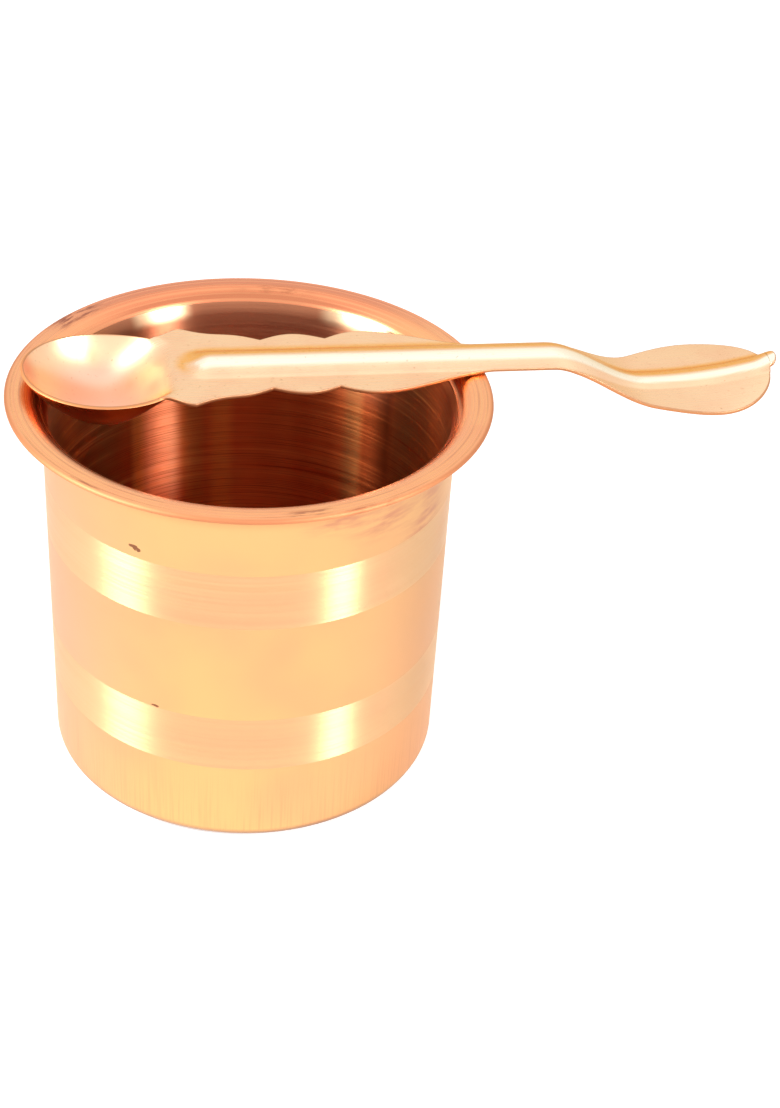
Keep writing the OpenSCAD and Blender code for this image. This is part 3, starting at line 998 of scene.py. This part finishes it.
spoonLook = {
    "pale": (0.95, 0.645, 0.405, 1.0),
    "rose": (0.94, 0.595, 0.375, 1.0),
    "crest": (1.0, 0.90, 0.72, 1.0),
    "dish": (0.92, 0.545, 0.40, 1.0),
    "blush": (0.86, 0.34, 0.20, 1.0),
    "blushDull": 0.22,
    "edge": (0.46, 0.21, 0.10, 1.0),
    "underside": (0.66, 0.28, 0.115, 1.0),
    "ribShadeTint": (0.93, 0.47, 0.14, 1.0),
    "grazing": (1.0, 0.80, 0.54, 1.0),
    "roughness": 0.28,
    "dishRoughness": 0.38,
    "edgeRoughness": 0.55,
    "wornBy": 0.03,
    "wornSpan": (0.25, 0.75),
    "relief": 0.00003,
    "pitRelief": 0.5,
    "brushRelief": 0.15,
    "dishRelief": 0.2,
    "cloudGrain": (140.0, 140.0, 140.0),
    "brushGrain": (90.0, 2600.0, 90.0),
    "pitGrain": (1500.0, 1500.0, 1500.0),
    # noise or mark at which each starts to show and is full, then its least and most share
    "cloudSpan": (0.35, 0.7),
    "bottomSpan": (0.45, 0.9),
    "ribShadeSpan": (0.3, 0.65, 0.75, 1.0),
    "pitSpan": (0.62, 0.78, 0.0, 0.5),
    "edgeSpan": (0.3, 1.0, 0.0, 0.85),
    "satinSpan": (0.05, 0.5),
    "smoothSpan": (0.0, 0.25),
    # place along and across the sheet, reach, and strength
    "warmSpots": (
        ((0.0008, 0.0006, 0.0), (0.0022, 0.0060, 0.02), 0.9),
        ((0.0114, 0.0096, 0.0), (0.0022, 0.0022, 0.02), 0.7),
        ((0.0166, 0.0030, 0.0), (0.0018, 0.0034, 0.02), 0.7),
        ((0.0196, -0.0020, 0.0), (0.0020, 0.0034, 0.02), 0.6),
    ),
}


def spoonCopper(look):
    copper, tree, shader = newCopper("spoonPolish", look)[:3]
    laid = addNode(tree, "ShaderNodeAttribute", attribute_name="alongSheet").outputs["Vector"]
    edge, below, foot, crest, dish = (
        addNode(tree, "ShaderNodeAttribute", attribute_name=name).outputs["Fac"]
        for name in ("cutEdge", "underside", "ribShade", "ribHighlight", "inDish")
    )
    cloud = grain(tree, laid, look["cloudGrain"], detail=4.0)
    brushed = grain(tree, laid, look["brushGrain"], detail=4.0)
    pits = grain(tree, laid, look["pitGrain"], detail=3.0)
    colour = dye(tree, ramp(tree, cloud, *look["cloudSpan"]), look["pale"], look["rose"])
    colour = dye(tree, ramp(tree, dish, *look["bottomSpan"]), colour, look["dish"])
    # painted shade on the rib's far flank and round its nose, broken up by the pit grain
    ribShaded = both(tree, foot, ramp(tree, pits, *look["ribShadeSpan"]))
    colour = dye(tree, ribShaded, colour, look["ribShadeTint"])
    # painted highlight: the rib's upper near flank is dyed near white
    colour = dye(tree, crest, colour, look["crest"])
    dulled = 0.0
    for centre, reach, strength in look["warmSpots"]:
        near = both(tree, spot(tree, laid, centre, reach), strength)
        colour = dye(tree, near, colour, look["blush"])
        dulled = calc(tree, "MAXIMUM", near, dulled)
    colour = dye(tree, ramp(tree, pits, *look["pitSpan"]), colour, look["edge"])
    # painted shade: the cut edge is darkened; it is also made rougher below
    onEdge = ramp(tree, edge, *look["edgeSpan"])
    colour = dye(tree, onEdge, colour, look["edge"])
    # painted shade: the whole underside is darker
    colour = dye(tree, below, colour, look["underside"])
    feed(tree, shader.inputs["Base Color"], colour)
    polish = look["roughness"]
    satin = ramp(tree, dish, *look["satinSpan"], polish, look["dishRoughness"])
    satin = calc(tree, "ADD", satin, both(tree, onEdge, look["edgeRoughness"] - polish))
    satin = calc(tree, "ADD", satin, both(tree, dulled, look["blushDull"]))
    worn = ramp(tree, brushed, *look["wornSpan"], -look["wornBy"], look["wornBy"])
    feed(tree, shader.inputs["Roughness"], calc(tree, "ADD", satin, worn))
    pitted = both(tree, pits, look["pitRelief"])
    relief = calc(tree, "ADD", pitted, both(tree, brushed, look["brushRelief"]))
    relief = both(tree, relief, ramp(tree, dish, *look["smoothSpan"], 1.0, look["dishRelief"]))
    addBump(tree, shader, relief, look["relief"])
    return copper


spoonPiece = stampSpoon(spoonSheet, spoonCopper(spoonLook))
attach(spoonPiece, "spoon")
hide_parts("spoon")
print("spoon stamped:", len(spoonPiece.data.polygons), "faces")


# studio: white floor, white tent with a brighter roof behind, and a window on each side
studio = {
    "white": (1.0, 1.0, 1.0, 1.0),
    "floorHalf": 3.0,
    "floorPaper": (0.55, 0.55, 0.55, 1.0),
    "floorRoughness": 0.9,
    "floorSeen": 0.7,
    "floorFar": (0.3, 0.9),
    "floorMirrored": 0.5,
    "tentLight": 0.1,
    "tentHorizon": 0.9,
    "horizonTo": (0.05, 0.4),
    "tentMouth": 1.3,
    "tentRoof": 1.25,
    "mouthFrom": (-0.5, -0.85),
    "roofFrom": (0.60, 0.72),
    "roofTo": (-0.05, 0.12),
    "windows": (
        # name, degrees right of the camera side, elevation, distance, width, height, watts
        ("leftWindow", -72.0, 38.5, 0.75, 0.25, 0.18, 6.6),
        ("rightWindow", 51.5, 29.0, 0.75, 0.16, 0.22, 4.7),
    ),
}


def layFloor(room):
    half = room["floorHalf"]
    corners = [(-half, -half, 0), (half, -half, 0), (half, half, 0), (-half, half, 0)]
    mesh = bpy.data.meshes.new("floor")
    mesh.from_pydata(corners, [], [(0, 1, 2, 3)])
    floor = bpy.data.objects.new("floor", mesh)
    scene.collection.objects.link(floor)
    paper = bpy.data.materials.new("whitePaper")
    paper.use_nodes = True
    tree = paper.node_tree
    shader = tree.nodes["Principled BSDF"]
    shader.inputs["Base Color"].default_value = room["floorPaper"]
    shader.inputs["Roughness"].default_value = room["floorRoughness"]
    shader.inputs["Emission Color"].default_value = room["white"]
    ray = addNode(tree, "ShaderNodeLightPath").outputs
    away = roundPlace(tree, addNode(tree, "ShaderNodeTexCoord").outputs["Object"])[1]
    seen = both(tree, ray["Is Camera Ray"], ramp(tree, away, *room["floorFar"], room["floorSeen"], 1.0))
    mirrored = both(tree, ray["Is Glossy Ray"], room["floorMirrored"])
    feed(tree, shader.inputs["Emission Strength"], calc(tree, "MAXIMUM", seen, mirrored))
    mesh.materials.append(paper)


def pitchTent(room):
    world = bpy.data.worlds.new("tent")
    scene.world = world
    world.use_nodes = True
    tree = world.node_tree
    ray = addNode(tree, "ShaderNodeLightPath").outputs
    y, z = splitPlace(tree, addNode(tree, "ShaderNodeTexCoord").outputs["Generated"])[1:]
    overHorizon = ramp(tree, z, *room["horizonTo"], room["tentHorizon"], 1.0)
    besideMouth = ramp(tree, y, *room["mouthFrom"], 1.0, room["tentMouth"])
    inRoof = both(tree, ramp(tree, z, *room["roofFrom"]), ramp(tree, y, *room["roofTo"]))
    roof = ramp(tree, inRoof, 0.0, 1.0, 1.0, room["tentRoof"])
    mirrored = both(tree, both(tree, both(tree, overHorizon, besideMouth), roof), ray["Is Glossy Ray"])
    seen = calc(tree, "MAXIMUM", mirrored, ray["Is Camera Ray"])
    back = tree.nodes["Background"]
    back.inputs["Color"].default_value = room["white"]
    feed(tree, back.inputs["Strength"], calc(tree, "MAXIMUM", seen, room["tentLight"]))


def hangWindows(room):
    for name, azimuth, elevation, distance, width, height, watts in room["windows"]:
        turn, tip = math.radians(azimuth), math.radians(elevation)
        level = distance * math.cos(tip)
        stand = Vector((level * math.sin(turn), -level * math.cos(turn), distance * math.sin(tip)))
        lampData = bpy.data.lights.new(name, "AREA")
        lampData.shape = "RECTANGLE"
        lampData.size = width
        lampData.size_y = height
        lampData.energy = watts
        lamp = bpy.data.objects.new(name, lampData)
        lamp.location = stand
        lamp.rotation_euler = (-stand).to_track_quat("-Z", "Y").to_euler()
        scene.collection.objects.link(lamp)


layFloor(studio)
pitchTent(studio)
hangWindows(studio)
print("studio lit")
